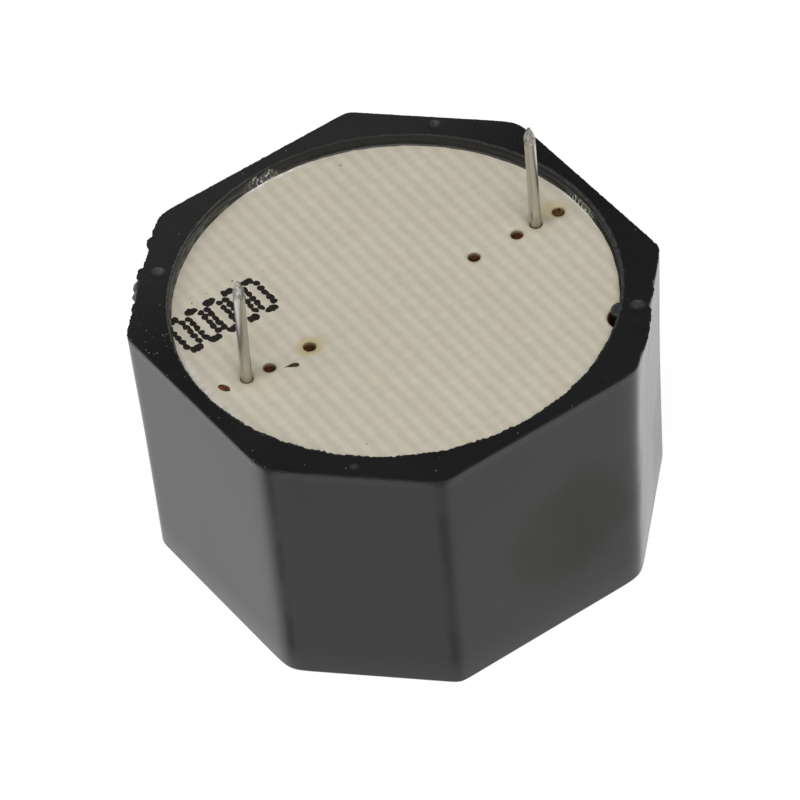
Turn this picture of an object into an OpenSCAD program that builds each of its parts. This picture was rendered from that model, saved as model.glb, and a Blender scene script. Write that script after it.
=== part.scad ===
// Piezo buzzer in an octagonal moulded housing, with two straight pins for a printed circuit board.
// It stands on its sound face. +Z runs from the sound face to the pins, and the origin is the centre
// of the sound face. The long sides of the octagon face X and Y. The pins stand in a row along X,
// turned by the small play that the board has round its key.

/* [Housing] */
// Width across the long sides, at the open rim
rim_flats = 24.2; // [24:0.1:34]
// How much wider the body is across its short sides than across its long ones
diagonal_gain = 1.1; // [0.6:0.1:1.6]
// Narrowing of each side from the open rim to the sound face
side_draft = 0.35; // [0:0.05:0.6]
// Height from the sound face to the open rim
housing_h = 15; // [11:0.1:22]
// Thinnest wall, at the middle of a long side of the rim
rim_wall = 0.8; // [0.6:0.05:1.6]
// Thickness of the sound face
face_wall = 1.4; // [0.8:0.1:2.4]
// Bevel round the edge of the sound face
face_bevel = 0.25; // [0.1:0.05:0.6]
// Bevel at the mouth of the bore
mouth_bevel = 0.1; // [0.05:0.05:0.3]
// Width of the ledge under the circuit board
board_ledge_w = 0.6; // [0.5:0.05:1]
// Diameter of the sound port
port_d = 3; // [1.5:0.1:6]

/* [Rim dimples] */
// Diameter of the moulding dimples, one on each short side of the rim
dimple_d = 0.7; // [0.4:0.05:0.8]
// Depth of a dimple
dimple_depth = 0.25; // [0.1:0.05:0.5]
// Distance from the outer edge of a short side to the centre of its dimple
dimple_inset = 0.5; // [0.45:0.05:0.7]

/* [Key] */
// Radius of the half-round key rib in the bore
key_r = 0.5; // [0.3:0.05:0.7]
// Clearance round the rib in the notch of the board
key_clearance = 0.3; // [0.1:0.05:0.4]
// How far the rib's centre line lies outside the bore
key_inset = 0.1; // [0:0.05:0.3]
// Direction of the key, in degrees from +X
key_angle = -45; // [-60:1:-30]
// Height of the rib above the board
key_rise = 0.4; // [0.1:0.05:0.6]
// Share of the play round the key that the board is turned by
key_play_used = -0.95; // [-0.95:0.05:0.95]

/* [Circuit board] */
// Thickness of the board
board_t = 1.6; // [0.8:0.1:2]
// Radial gap between board and bore
board_clearance = 0.05; // [0.02:0.01:0.15]
// Depth of the board's face below the rim
board_recess = 0.7; // [0.5:0.05:2]
// Width of the sealant bead on the board
sealant_w = 0.2; // [0.1:0.05:0.4]
// Height of the sealant bead up the bore
sealant_h = 0.3; // [0.1:0.05:0.45]

/* [Pins] */
// Distance between the fitted pins; the other pitches are spare holes
pin_pitch = 17.5; // [10, 15, 17.5, 20]
// Diameter of a pin above the board
pin_d = 0.62; // [0.5:0.01:0.7]
// How much thicker a pin's root is, where it grips the board
pin_root_gain = 0.06; // [0:0.01:0.1]
// Radial gap between a pin's root and its hole
pin_clearance = 0.01; // [0.01:0.01:0.05]
// Length of a pin above the board
pin_length = 6.6; // [3:0.1:12]
// Length of a pin's tapered tip
pin_tip_l = 0.95; // [0.5:0.05:1.5]
// Diameter of the blunt end of a pin
pin_end_d = 0.18; // [0.1:0.02:0.4]
// Length of a pin below the board
pin_stub = 0.9; // [0.6:0.1:1.5]

/* [Sounding disc] */
// Depth of the air chamber between the sound face and the disc
chamber_depth = 1.8; // [0.8:0.1:3]
// Width of the seat under the edge of the disc
disc_seat_w = 1.1; // [0.7:0.1:1.6]
// Radial gap round the disc
disc_clearance = 0.2; // [0.1:0.05:0.4]
// Thickness of the brass diaphragm
diaphragm_t = 0.2; // [0.1:0.05:0.4]
// Diameter of the ceramic disc
ceramic_d = 14; // [10:0.5:15]
// Thickness of the ceramic disc
ceramic_t = 0.23; // [0.1:0.01:0.4]
// Height of the silicone bead above the diaphragm
bead_h = 0.6; // [0.3:0.1:1]
// Width of the silicone bead over the diaphragm
bead_w = 0.6; // [0.3:0.1:0.9]

/* [Leads] */
// Outer diameter of an insulated lead
lead_d = 0.8; // [0.5:0.05:1]
// Share of a lead's height over which each of its bends is drawn out
lead_bend = 0.45; // [0.3:0.05:0.6]
// Number of flat sides round a lead
lead_sides = 8; // [6:1:12]
// Number of straight steps along a lead
lead_steps = 7; // [5:1:12]
// Height of a lead's solder joint
joint_h = 0.4; // [0.2:0.05:0.6]
// Radius of a lead's solder joint at its foot
joint_r = 0.8; // [0.6:0.05:0.9]

/* [Components under the board] */
// Thickness of the solder under the components
solder_t = 0.1; // [0.05:0.01:0.2]
// Diameter of the flanges of the choke's core
choke_d = 5.8; // [4:0.1:6]
// Diameter of the choke's core inside the coil
choke_waist_d = 2.8; // [2:0.1:3.2]
// Height of the choke's core
choke_h = 4; // [2.5:0.1:5]
// Thickness of one flange of the choke's core
choke_flange_t = 0.9; // [0.5:0.1:1.2]
// Distance from the coil's outside to the edge of the flanges
coil_inset = 0.3; // [0.1:0.05:0.6]

/* [Hidden] */
$fn = 96;
eps = 0.01;

// Housing, from the outside in
long_half = rim_flats / 2;
short_half = (rim_flats + diagonal_gain) / 2;
bore_r = long_half - rim_wall;
cavity_r = bore_r - board_ledge_w;
seat_z = face_wall + chamber_depth;
board_top_z = housing_h - board_recess;
board_z = board_top_z - board_t;

// Key rib and the notch round it, which share one centre line when the board isn't turned
key_ring_r = bore_r + key_inset;
notch_r = key_r + key_clearance;
board_turn = key_play_used * 2 * asin(key_clearance / key_ring_r / 2);

// Board and pins
board_r = bore_r - board_clearance;
pitches = [10, 15, 17.5, 20];
root_d = pin_d + pin_root_gain;
hole_d = root_d + 2 * pin_clearance;
solder_cone_h = pin_stub - 0.2;
solder_cone_r = 0.6;
solder_skin = 0.06;

// Sounding disc
diaphragm_r = cavity_r - disc_clearance;
diaphragm_top = seat_z + diaphragm_t;
ceramic_top = diaphragm_top + ceramic_t;

// Places of the lead joints on the disc and of the lead pads on the board
drive_foot = [3.4, -1.8];
drive_pad = [6, -3.4];
feedback_foot = [-4.6, 3.2];
feedback_pad = [-6.6, 3.4];
ground_foot = [-7.4, -4.8];
ground_pad = [-5.6, -3.4];

// Places of the components: x, y and turn about Z
transistor_at = [-2.6, 3.1, 0];
diode_at = [6.4, 3.7, -50];
capacitor_at = [2.4, 6.8, 0];
base_resistor_at = [1.2, 3, 90];
feedback_resistor_at = [3.6, 3, 90];
load_resistor_at = [-2.4, 6.8, 0];
choke_at = [0, -5.2, 0];

// Component sizes: length, width, height
small_chip = [2, 1.25, 0.5];
large_chip = [3.2, 1.6, 0.6];
capacitor_size = [3.2, 1.6, 1.2];
chip_end_l = 0.4;
transistor_size = [2.9, 1.3, 1];
transistor_span = 2.4;
transistor_feet = [[-0.95, -1], [0.95, -1], [0, 1]];
diode_size = [2.7, 1.6, 1.1];
diode_span = 3.7;
foot_t = 0.15;
foot_w = 0.45;
foot_l = 0.4;
choke_pad = [1.2, 2.4];
choke_pad_x = 1.9;

// ---------- Helpers ----------

// Outline of the body seen square to one pair of sides: tapered, with a bevel at the sound face
module side_profile(half) {
    foot = half - side_draft;
    polygon([
        [-foot + face_bevel, 0], [foot - face_bevel, 0], [foot, face_bevel],
        [half, housing_h], [-half, housing_h], [-foot, face_bevel]
    ]);
}

// A bar with that outline, long enough to cross the whole body
module side_pair(half, turn) {
    rotate([0, 0, turn])
        rotate([90, 0, 0])
            linear_extrude(height = 4 * half, center = true)
                side_profile(half);
}

module housing_body() {
    intersection() {
        side_pair(long_half, 0);
        side_pair(long_half, 90);
        side_pair(short_half, 45);
        side_pair(short_half, 135);
    }
}

// Places its children in the board's own frame, which is turned by the play round the key
module board_frame() {
    rotate([0, 0, board_turn]) children();
}

// Stands its children on the underside of the board, at [x, y, turn], with their +Z into the cavity
module under_board(at) {
    board_frame()
        translate([at[0], at[1], board_z])
            rotate([180, 0, at[2]])
                children();
}

module at_key() {
    rotate([0, 0, key_angle])
        translate([key_ring_r, 0, 0])
            children();
}

// Puts its child at both ends of a pitch
module both_ends(pitch) {
    for (side = [-1, 1])
        translate([side * pitch / 2, 0, 0]) children();
}

// ---------- Shell ----------

module housing() {
    color("#26272a") {
        difference() {
            housing_body();
            translate([0, 0, board_z]) cylinder(h = housing_h, r = bore_r);
            translate([0, 0, seat_z]) cylinder(h = housing_h, r = cavity_r);
            translate([0, 0, face_wall]) cylinder(h = housing_h, r = cavity_r - disc_seat_w);
            translate([0, 0, -eps]) cylinder(h = face_wall + 2 * eps, d = port_d);
            translate([0, 0, housing_h - mouth_bevel])
                cylinder(h = mouth_bevel + eps, r1 = bore_r, r2 = bore_r + mouth_bevel + eps);
            rim_dimples();
        }
        key_rib();
    }
}

module rim_dimples() {
    for (turn = [45 : 90 : 315])
        rotate([0, 0, turn])
            translate([short_half - dimple_inset, 0, housing_h - dimple_depth])
                cylinder(h = dimple_depth + eps, d = dimple_d);
}

module key_rib() {
    at_key()
        translate([0, 0, board_z - eps])
            cylinder(h = board_t + key_rise + eps, r = key_r);
}

// ---------- Circuit board and pins ----------

module circuit_board() {
    color("#c9c2ac")
        board_frame()
            difference() {
                translate([0, 0, board_z]) cylinder(h = board_t, r = board_r);
                for (pitch = pitches)
                    both_ends(pitch)
                        translate([0, 0, board_z - eps]) cylinder(h = board_t + 2 * eps, d = hole_d);
                at_key()
                    translate([0, 0, board_z - eps]) cylinder(h = board_t + 2 * eps, r = notch_r);
            }
}

// Bead that fills the gap round the board and climbs a little up the bore, cut away at the key
module board_sealant() {
    color("#8f908a")
        difference() {
            rotate_extrude()
                polygon([
                    [board_r, board_z], [bore_r, board_z], [bore_r, board_top_z + sealant_h],
                    [board_r - sealant_w, board_top_z], [board_r, board_top_z]
                ]);
            board_frame()
                at_key()
                    translate([0, 0, board_z - eps])
                        cylinder(h = board_t + sealant_h + 2 * eps, r = notch_r);
            at_key()
                translate([0, 0, board_z - eps])
                    cylinder(h = board_t + sealant_h + 2 * eps, r = key_r);
        }
}

// Straight above the board, tapered at its tip, and thickened to its root where it grips the board
module pin(side) {
    shank = pin_length - pin_tip_l;
    color("#b9b6aa")
        board_frame()
            translate([side * pin_pitch / 2, 0, board_top_z]) {
                cylinder(h = shank, d = pin_d);
                translate([0, 0, shank]) cylinder(h = pin_tip_l, d1 = pin_d, d2 = pin_end_d);
                translate([0, 0, -board_t]) cylinder(h = board_t, d1 = root_d, d2 = pin_d);
                translate([0, 0, -board_t - pin_stub]) cylinder(h = pin_stub, d = root_d);
            }
}

// Solder cone round a pin, on the underside of the board
module pin_solder(side) {
    color("#a9abad")
        under_board([side * pin_pitch / 2, 0, 0])
            difference() {
                cylinder(h = solder_cone_h, r1 = solder_cone_r, r2 = root_d / 2 + solder_skin);
                translate([0, 0, -eps]) cylinder(h = solder_cone_h + 2 * eps, d = root_d);
            }
}

// ---------- Sounding disc ----------

module diaphragm() {
    color("#c9a44c")
        translate([0, 0, seat_z]) cylinder(h = diaphragm_t, r = diaphragm_r);
}

module piezo_disc() {
    color("#c8c8c4")
        translate([0, 0, diaphragm_top]) cylinder(h = ceramic_t, d = ceramic_d);
}

// Silicone that fills the gap round the diaphragm and laps over its edge
module diaphragm_bead() {
    color("#e4e2da")
        rotate_extrude()
            polygon([
                [diaphragm_r, seat_z], [cavity_r, seat_z], [cavity_r, diaphragm_top + bead_h],
                [diaphragm_r - bead_w, diaphragm_top], [diaphragm_r, diaphragm_top]
            ]);
}

// ---------- Leads ----------

// A point of a cubic curve at share t of the way
function curve_point(p, t) =
    pow(1 - t, 3) * p[0] + 3 * t * pow(1 - t, 2) * p[1] + 3 * t * t * (1 - t) * p[2] + pow(t, 3) * p[3];

// Direction of that curve at share t of the way
function curve_way(p, t) =
    let (d = pow(1 - t, 2) * (p[1] - p[0]) + 2 * t * (1 - t) * (p[2] - p[1]) + t * t * (p[3] - p[2]))
    d / norm(d);

// A ring of points round the curve; side is a level direction square to the lead's run
function ring(p, t, side) =
    let (way = curve_way(p, t), u = cross(side, way) / norm(cross(side, way)), v = cross(way, u))
    [for (i = [0 : lead_sides - 1])
        curve_point(p, t) + lead_d / 2 * (cos(360 * i / lead_sides) * u + sin(360 * i / lead_sides) * v)];

// A lead that leaves the joint at foot upright and reaches the pad on the board upright
module lead(foot, pad, foot_z) {
    top_z = board_z - joint_h;
    slack = lead_bend * (top_z - foot_z);
    run = [pad[0] - foot[0], pad[1] - foot[1], 0];
    side = [-run[1], run[0], 0] / norm(run);
    route = [
        [foot[0], foot[1], foot_z],
        [foot[0], foot[1], foot_z + slack],
        [pad[0], pad[1], top_z - slack],
        [pad[0], pad[1], top_z]
    ];
    rings = [for (k = [0 : lead_steps]) each ring(route, k / lead_steps, side)];
    last = lead_steps * lead_sides;
    walls = [
        for (k = [0 : lead_steps - 1], i = [0 : lead_sides - 1])
            let (a = k * lead_sides + i, b = k * lead_sides + (i + 1) % lead_sides)
            [a, b, b + lead_sides, a + lead_sides]
    ];
    board_frame()
        polyhedron(
            points = rings,
            faces = concat(
                walls,
                [[for (i = [lead_sides - 1 : -1 : 0]) i]],
                [[for (i = [0 : lead_sides - 1]) last + i]]
            ),
            convexity = 4
        );
}

module drive_lead() {
    color("#a8352c") lead(drive_foot, drive_pad, ceramic_top + joint_h);
}

module feedback_lead() {
    color("#3f5f9a") lead(feedback_foot, feedback_pad, ceramic_top + joint_h);
}

module ground_lead() {
    color("#2b2b2b") lead(ground_foot, ground_pad, diaphragm_top + joint_h);
}

// Solder joint with a flat top as wide as the lead that ends on it
module joint() {
    color("#a9abad") cylinder(h = joint_h, r1 = joint_r, r2 = lead_d / 2 + solder_skin);
}

module disc_joint(foot, z) {
    board_frame()
        translate([foot[0], foot[1], z]) joint();
}

module drive_joint() disc_joint(drive_foot, ceramic_top);
module feedback_joint() disc_joint(feedback_foot, ceramic_top);
module ground_joint() disc_joint(ground_foot, diaphragm_top);

module lead_pads() {
    for (pad = [drive_pad, feedback_pad, ground_pad])
        under_board([pad[0], pad[1], 0]) joint();
}

// ---------- Components under the board ----------

module box_on(size, z) {
    translate([-size[0] / 2, -size[1] / 2, z]) cube(size);
}

// Chip with bright ends a little taller than its body
module chip(size, shade) {
    end = [chip_end_l, size[1], size[2]];
    color(shade) box_on([size[0] - 2 * chip_end_l, size[1], size[2] - 0.03], solder_t);
    color("#c3c5c7")
        for (side = [-1, 1])
            translate([side * (size[0] - chip_end_l) / 2, 0, 0]) box_on(end, solder_t);
}

// Bent foot that leaves a body at the middle of its height and stands on the solder
module leg(reach, body_half, mid_z) {
    translate([body_half, -foot_w / 2, mid_z]) cube([reach - foot_l - body_half + foot_t, foot_w, foot_t]);
    translate([reach - foot_l, -foot_w / 2, solder_t]) cube([foot_t, foot_w, mid_z - solder_t + foot_t]);
    translate([reach - foot_l, -foot_w / 2, solder_t]) cube([foot_l, foot_w, foot_t]);
}

module transistor() {
    mid_z = solder_t + transistor_size[2] / 2;
    under_board(transistor_at) {
        color("#2a2a2c") box_on(transistor_size, solder_t);
        color("#c3c5c7")
            for (foot = transistor_feet)
                translate([foot[0], 0, 0])
                    rotate([0, 0, 90 * foot[1]])
                        leg(transistor_span / 2, transistor_size[1] / 2, mid_z);
    }
}

module polarity_diode() {
    mid_z = solder_t + diode_size[2] / 2;
    under_board(diode_at) {
        color("#2a2a2c") box_on(diode_size, solder_t);
        color("#c3c5c7")
            for (turn = [0, 180])
                rotate([0, 0, turn]) leg(diode_span / 2, diode_size[0] / 2, mid_z);
    }
}

module supply_capacitor() {
    under_board(capacitor_at) chip(capacitor_size, "#a98a63");
}

module base_resistor() {
    under_board(base_resistor_at) chip(small_chip, "#232326");
}

module feedback_resistor() {
    under_board(feedback_resistor_at) chip(small_chip, "#232326");
}

module load_resistor() {
    under_board(load_resistor_at) chip(large_chip, "#232326");
}

module choke_core() {
    waist_h = choke_h - 2 * choke_flange_t;
    color("#4a4748")
        under_board(choke_at)
            translate([0, 0, solder_t]) {
                cylinder(h = choke_flange_t, d = choke_d);
                translate([0, 0, choke_flange_t]) cylinder(h = waist_h, d = choke_waist_d);
                translate([0, 0, choke_h - choke_flange_t]) cylinder(h = choke_flange_t, d = choke_d);
            }
}

module choke_winding() {
    waist_h = choke_h - 2 * choke_flange_t;
    color("#9a4f2a")
        under_board(choke_at)
            translate([0, 0, solder_t + choke_flange_t])
                difference() {
                    cylinder(h = waist_h, d = choke_d - 2 * coil_inset);
                    translate([0, 0, -eps]) cylinder(h = waist_h + 2 * eps, d = choke_waist_d);
                }
}

// Thin solder pad for a foot of the given length and width
module pad(length, width) {
    translate([-length / 2, -width / 2, 0]) cube([length, width, solder_t]);
}

module chip_solder(at, size) {
    under_board(at)
        for (side = [-1, 1])
            translate([side * (size[0] - chip_end_l) / 2, 0, 0]) pad(chip_end_l, size[1]);
}

module component_solder() {
    color("#a9abad") {
        chip_solder(capacitor_at, capacitor_size);
        chip_solder(base_resistor_at, small_chip);
        chip_solder(feedback_resistor_at, small_chip);
        chip_solder(load_resistor_at, large_chip);
        under_board(transistor_at)
            for (foot = transistor_feet)
                translate([foot[0], foot[1] * (transistor_span - foot_l) / 2, 0]) pad(foot_w, foot_l);
        under_board(diode_at)
            for (side = [-1, 1])
                translate([side * (diode_span - foot_l) / 2, 0, 0]) pad(foot_l, foot_w);
        under_board(choke_at)
            for (side = [-1, 1])
                translate([side * choke_pad_x, 0, 0]) pad(choke_pad[0], choke_pad[1]);
    }
}

// ---------- Assembly ----------

housing();
circuit_board();
pin(-1);  // pin_positive
pin(1);  // pin_negative
board_sealant();
diaphragm();
piezo_disc();
diaphragm_bead();
drive_lead();
feedback_lead();
ground_lead();
drive_joint();
feedback_joint();
ground_joint();
lead_pads();
pin_solder(-1);  // solder_positive
pin_solder(1);  // solder_negative
transistor();
polarity_diode();
supply_capacitor();
base_resistor();
feedback_resistor();
load_resistor();
choke_core();
choke_winding();
component_solder();
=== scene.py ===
"""Detailed surfaces and finishes of an octagonal piezo buzzer, laid out as an add-on."""

import math

import bpy
import numpy as np
from bpy.props import FloatProperty, FloatVectorProperty, IntProperty, PointerProperty
from mathutils import Matrix, Vector


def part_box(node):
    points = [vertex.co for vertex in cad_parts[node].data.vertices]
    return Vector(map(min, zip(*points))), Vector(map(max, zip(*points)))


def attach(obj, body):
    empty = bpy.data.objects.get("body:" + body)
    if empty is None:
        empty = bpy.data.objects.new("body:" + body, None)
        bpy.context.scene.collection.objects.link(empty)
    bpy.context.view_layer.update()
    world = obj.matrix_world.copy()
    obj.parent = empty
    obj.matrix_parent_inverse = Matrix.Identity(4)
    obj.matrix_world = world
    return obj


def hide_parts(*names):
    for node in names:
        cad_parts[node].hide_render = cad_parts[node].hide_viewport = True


bl_info = {
    "name": "Piezo buzzer builder",
    "version": (1, 0, 0),
    "blender": (4, 5, 0),
    "location": "3D View > Sidebar > Buzzer",
    "description": "Builds the shell, board, pins, sealant, marks and stage of a piezo buzzer",
    "category": "Add Mesh",
}

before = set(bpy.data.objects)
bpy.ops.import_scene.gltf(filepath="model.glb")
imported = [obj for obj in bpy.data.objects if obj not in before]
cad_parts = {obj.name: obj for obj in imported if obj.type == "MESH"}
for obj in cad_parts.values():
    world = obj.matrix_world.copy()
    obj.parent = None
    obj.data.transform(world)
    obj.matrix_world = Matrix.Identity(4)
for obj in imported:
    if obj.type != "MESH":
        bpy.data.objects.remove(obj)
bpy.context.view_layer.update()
MM = 0.001
TURN = 2 * math.pi


# ---------- Places taken from the frame, in millimetres ----------


def box_mm(node):
    """Lowest and highest corner of a CAD node, in millimetres."""
    low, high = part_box(node)
    return np.array(low) / MM, np.array(high) / MM


def pin_place(node):
    """Where a pin's axis stands, and the heights of its two ends."""
    low, high = box_mm(node)
    return (low[:2] + high[:2]) / 2, low[2], high[2]


RIM_HALF = box_mm("housing")[1][0]
RIM_Z = box_mm("housing")[1][2]
BORE_R = box_mm("board_sealant")[1][0]
BOARD_R = box_mm("circuit_board")[1][0]
BOARD_LOW, BOARD_TOP = box_mm("circuit_board")[0][2], box_mm("circuit_board")[1][2]
CAVITY_R = box_mm("diaphragm_bead")[1][0]
SEAT_Z = box_mm("diaphragm")[0][2]
PIN_PLUS, PIN_FOOT, PIN_TOP = pin_place("pin_positive")
PIN_MINUS = pin_place("pin_negative")[0]
ROW = PIN_MINUS - PIN_PLUS
BOARD_TURN = math.atan2(ROW[1], ROW[0])
VIEW_DEGREES = -32.02
VIEW_TURN = math.radians(VIEW_DEGREES)
PITCH_HALF = math.hypot(*ROW) / 2
# How far both pins stand off their nodes' axes where they leave the board
PIN_SHIFT = np.array((-0.03, 0.12))


# ---------- Settings that a user would change ----------


def length(name, description, default_mm, low_mm=0.0, high_mm=100.0):
    """A length property that is given in millimetres and kept in metres."""
    return FloatProperty(
        name=name, description=description, default=default_mm * MM, min=low_mm * MM,
        max=high_mm * MM, precision=6, unit="LENGTH", subtype="DISTANCE",
    )


def share(name, description, default):
    """A property from 0 to 1."""
    return FloatProperty(
        name=name, description=description, default=default, min=0.0, max=1.0, subtype="FACTOR"
    )


def colour(name, description, default):
    """A colour property, as linear light."""
    return FloatVectorProperty(
        name=name, description=description, default=default, size=3, min=0.0, max=1.0,
        subtype="COLOR",
    )


def angle_of(name, description, degrees):
    """An angle property that is given in degrees."""
    return FloatProperty(
        name=name, description=description, default=math.radians(degrees), subtype="ANGLE"
    )


class HousingSettings(bpy.types.PropertyGroup):
    """Sizes and colours of the moulded shell."""

    diagonal_gain: length("Diagonal gain", "How much wider the body is across its short sides", 1.1)
    draft: length("Draft", "Narrowing of each side from the rim to the sound face", 0.22)
    face_bevel: length("Face bevel", "Bevel round the edge of the sound face", 0.2)
    mouth_bevel: length("Mouth bevel", "Rounding at the mouth of the bore", 0.08)
    rim_edge: length("Rim edge", "Rounding of the outer edge of the rim", 0.05)
    face_wall: length("Face wall", "Thickness of the sound face", 1.4)
    seat_width: length("Seat width", "Width of the seat under the sounding disc", 1.1)
    port: length("Sound port", "Diameter of the sound port", 3.0)
    ragged: length("Ragged edge", "Unevenness of the rim's edges", 0.026)
    lumps: length("Mouth lumps", "Depth of the lumps at the mouth of the bore", 0.09)
    plastic: colour("Plastic", "Colour of the moulded plastic", (0.0042, 0.0042, 0.0044))
    # Flash also colours the painted highlights in the far half of the dimples
    flash: colour("Flash", "Colour of torn edges and burrs", (0.16, 0.165, 0.165))
    gloss: share("Roughness", "Roughness of the moulded sides", 0.17)


class BoardSettings(bpy.types.PropertyGroup):
    """Sizes and colours of the circuit board and its sealant."""

    warp: length("Warp pitch", "Distance between the glass threads along the board", 0.752)
    weft: length("Weft pitch", "Distance between the crossing threads", 0.571)
    relief: length("Relief", "Height of the woven relief", 0.006)
    hole: length("Hole radius", "Radius of the empty holes", 0.335)
    pin_hole: length("Pin hole radius", "Radius of the two holes that hold a pin", 0.335)
    notch: length("Notch radius", "Radius of the notch round the key", 0.8)
    grid: length("Grid step", "Distance between the board's mesh points", 0.115)
    laminate: colour("Laminate", "Colour of the bare laminate", (0.567, 0.525, 0.426))
    scorch: colour("Drilled edge", "Colour of the walls of the holes", (0.085, 0.03, 0.0065))
    flux: colour("Flux", "Colour of the flux stains", (0.46, 0.39, 0.2))
    sealant: colour("Sealant", "Colour of the sealing resin", (0.02, 0.02, 0.016))


class PinSettings(bpy.types.PropertyGroup):
    """Sizes and colours of the two pins."""

    radius: length("Radius", "Radius of a pin above the board", 0.295)
    root_radius: length("Root radius", "Radius of a pin under the board", 0.32)
    tip: length("Tip length", "Length of the two long faces of the coined tip", 1.05)
    tip_side: length("Tip side length", "Length of the two short faces of the coined tip", 0.7)
    tip_end: length("Tip end", "Half width of the blunt end", 0.055)
    tip_rise: length("Tip rise", "How far a tip stands above the frame's pin", 0.15)
    lean: length("Lean", "How far a tip leans towards the middle of the board", 0.08)
    metal: colour("Metal", "Colour of the tinned wire", (0.62, 0.6, 0.54))


class MarkSettings(bpy.types.PropertyGroup):
    """Sizes and colours of the marks on the board."""

    digits: IntProperty(
        name="Digits", description="How many zeros are printed", default=5, min=0, max=8
    )
    digit_pitch: length("Digit pitch", "Distance from one digit to the next", 1.115)
    dot: length("Dot radius", "Radius of an ink dot", 0.176)
    ink: colour("Ink", "Colour of the printed dots", (0.009, 0.0075, 0.0055))
    chip: colour("Chip", "Colour of the dark chip in the board", (0.024, 0.016, 0.009))


class StageSettings(bpy.types.PropertyGroup):
    """Floor, light and camera."""

    azimuth: angle_of("Azimuth", "Turn of the camera round the part", VIEW_DEGREES)
    elevation: angle_of("Elevation", "Height of the camera as an angle", 45.79)
    roll: angle_of("Roll", "Turn of the camera about its own axis", -5.53)
    distance: length("Distance", "From the camera to the point it looks at", 304.99, 1.0, 5000.0)
    lens: FloatProperty(
        name="Lens", description="Focal length in millimetres", default=268.27, min=1.0,
        unit="CAMERA",
    )
    aim: FloatVectorProperty(
        name="Aim", description="The point that the camera looks at",
        default=(0.001017, 0.002021, 0.004922), size=3, precision=6, subtype="TRANSLATION",
    )
    floor_light: FloatProperty(
        name="Floor light", description="Own light of the pale floor", default=0.93, min=0.0
    )
    key_light: FloatProperty(
        name="Key light", description="Power of the soft light overhead", default=3.45, min=0.0,
        unit="POWER",
    )
    surround: share("Surround", "Brightness of the surroundings", 0.1)


# ---------- Mesh helpers ----------


def ripple(angle, seed, slowest, fastest, waves):
    """Uneven line round a closed loop: waves of whole-number frequency and random phase.

    They are added up and scaled to about 1.
    """
    draw = np.random.default_rng(seed)
    frequency = draw.integers(slowest, fastest, waves)
    phase = draw.uniform(0, TURN, waves)
    return np.sin(np.multiply.outer(angle, frequency) + phase).sum(-1) / math.sqrt(waves / 2)


def soft_step(value, low, high):
    """Rises from 0 at low to 1 at high as 3t^2 - 2t^3."""
    t = np.clip((value - low) / (high - low), 0, 1)
    return t * t * (3 - 2 * t)


def hump(value, centre, width, power=2):
    """Falls off from 1 at the centre as exp(-|distance / width|^power)."""
    return np.exp(-np.abs((value - centre) / width) ** power)


def grid_faces(rows, columns, rows_closed=False):
    """Quads over a grid whose columns run round a closed loop, and whose rows may close too."""
    row = np.arange(rows if rows_closed else rows - 1)[:, None]
    column = np.arange(columns)[None, :]
    after, below = (column + 1) % columns, (row + 1) % rows
    corners = (
        row * columns + column, row * columns + after, below * columns + after,
        below * columns + column,
    )
    return np.stack(corners, -1).reshape(-1, 4)


def fan_faces(centre, ring, inwards=False):
    """Triangles from a centre point to a closed ring of points."""
    after = np.roll(ring, -1)
    pair = (after, ring) if inwards else (ring, after)
    return np.stack([np.full(len(ring), centre), *pair], -1)


def tube_faces(rows, columns):
    """Quads of a tube, and fans to the middle points of its ends, which follow its own points."""
    lower = np.arange(columns)
    upper = lower + (rows - 1) * columns
    fans = [fan_faces(rows * columns, lower, True), fan_faces(rows * columns + 1, upper)]
    return [grid_faces(rows, columns), np.concatenate(fans)]


def points_at(x, y, z):
    """One row of points from arrays of coordinates; a single value serves all of them."""
    return np.stack(np.broadcast_arrays(x, y, z), -1).reshape(-1, 3)


def signed_volume(points, faces):
    """Sum of a . (b x c) / 6 over all triangles; it is positive if the faces look outwards."""
    total = 0.0
    for group in faces:
        a = points[group[:, 0]]
        for k in range(1, group.shape[1] - 1):
            normal = np.cross(points[group[:, k]], points[group[:, k + 1]])
            total += np.einsum("ij,ij->i", a, normal).sum() / 6
    return total


def add_piece(name, points, faces, material, slot=None, replaced=(), crease=32.0, marks=None):
    """Makes a mesh from points in millimetres and arrays of faces, and lets it ride on the body."""
    if signed_volume(points, faces) < 0:
        faces = [group[:, ::-1] for group in faces]
    sizes = np.concatenate([np.full(len(group), group.shape[1]) for group in faces])
    corners = np.concatenate([group.ravel() for group in faces])
    mesh = bpy.data.meshes.new(name)
    mesh.vertices.add(len(points))
    mesh.loops.add(len(corners))
    mesh.polygons.add(len(sizes))
    mesh.vertices.foreach_set("co", (points * MM).astype(np.float32).ravel())
    mesh.polygons.foreach_set("loop_start", (np.cumsum(sizes) - sizes).astype(np.int32))
    mesh.polygons.foreach_set("vertices", corners.astype(np.int32))
    for mark, values in (marks or {}).items():
        kept = mesh.attributes.new(mark, "FLOAT", "POINT")
        kept.data.foreach_set("value", values.astype(np.float32))
    mesh.update(calc_edges=True)
    if mesh.validate():
        raise RuntimeError(f"the mesh of {name} had faults")
    mesh.shade_smooth()
    mesh.set_sharp_from_angle(angle=math.radians(crease))
    mesh.materials.append(material)
    piece = bpy.data.objects.new(name, mesh)
    bpy.context.scene.collection.objects.link(piece)
    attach(piece, "root")
    if replaced:
        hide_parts(*replaced)


# ---------- Material helpers ----------


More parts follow.
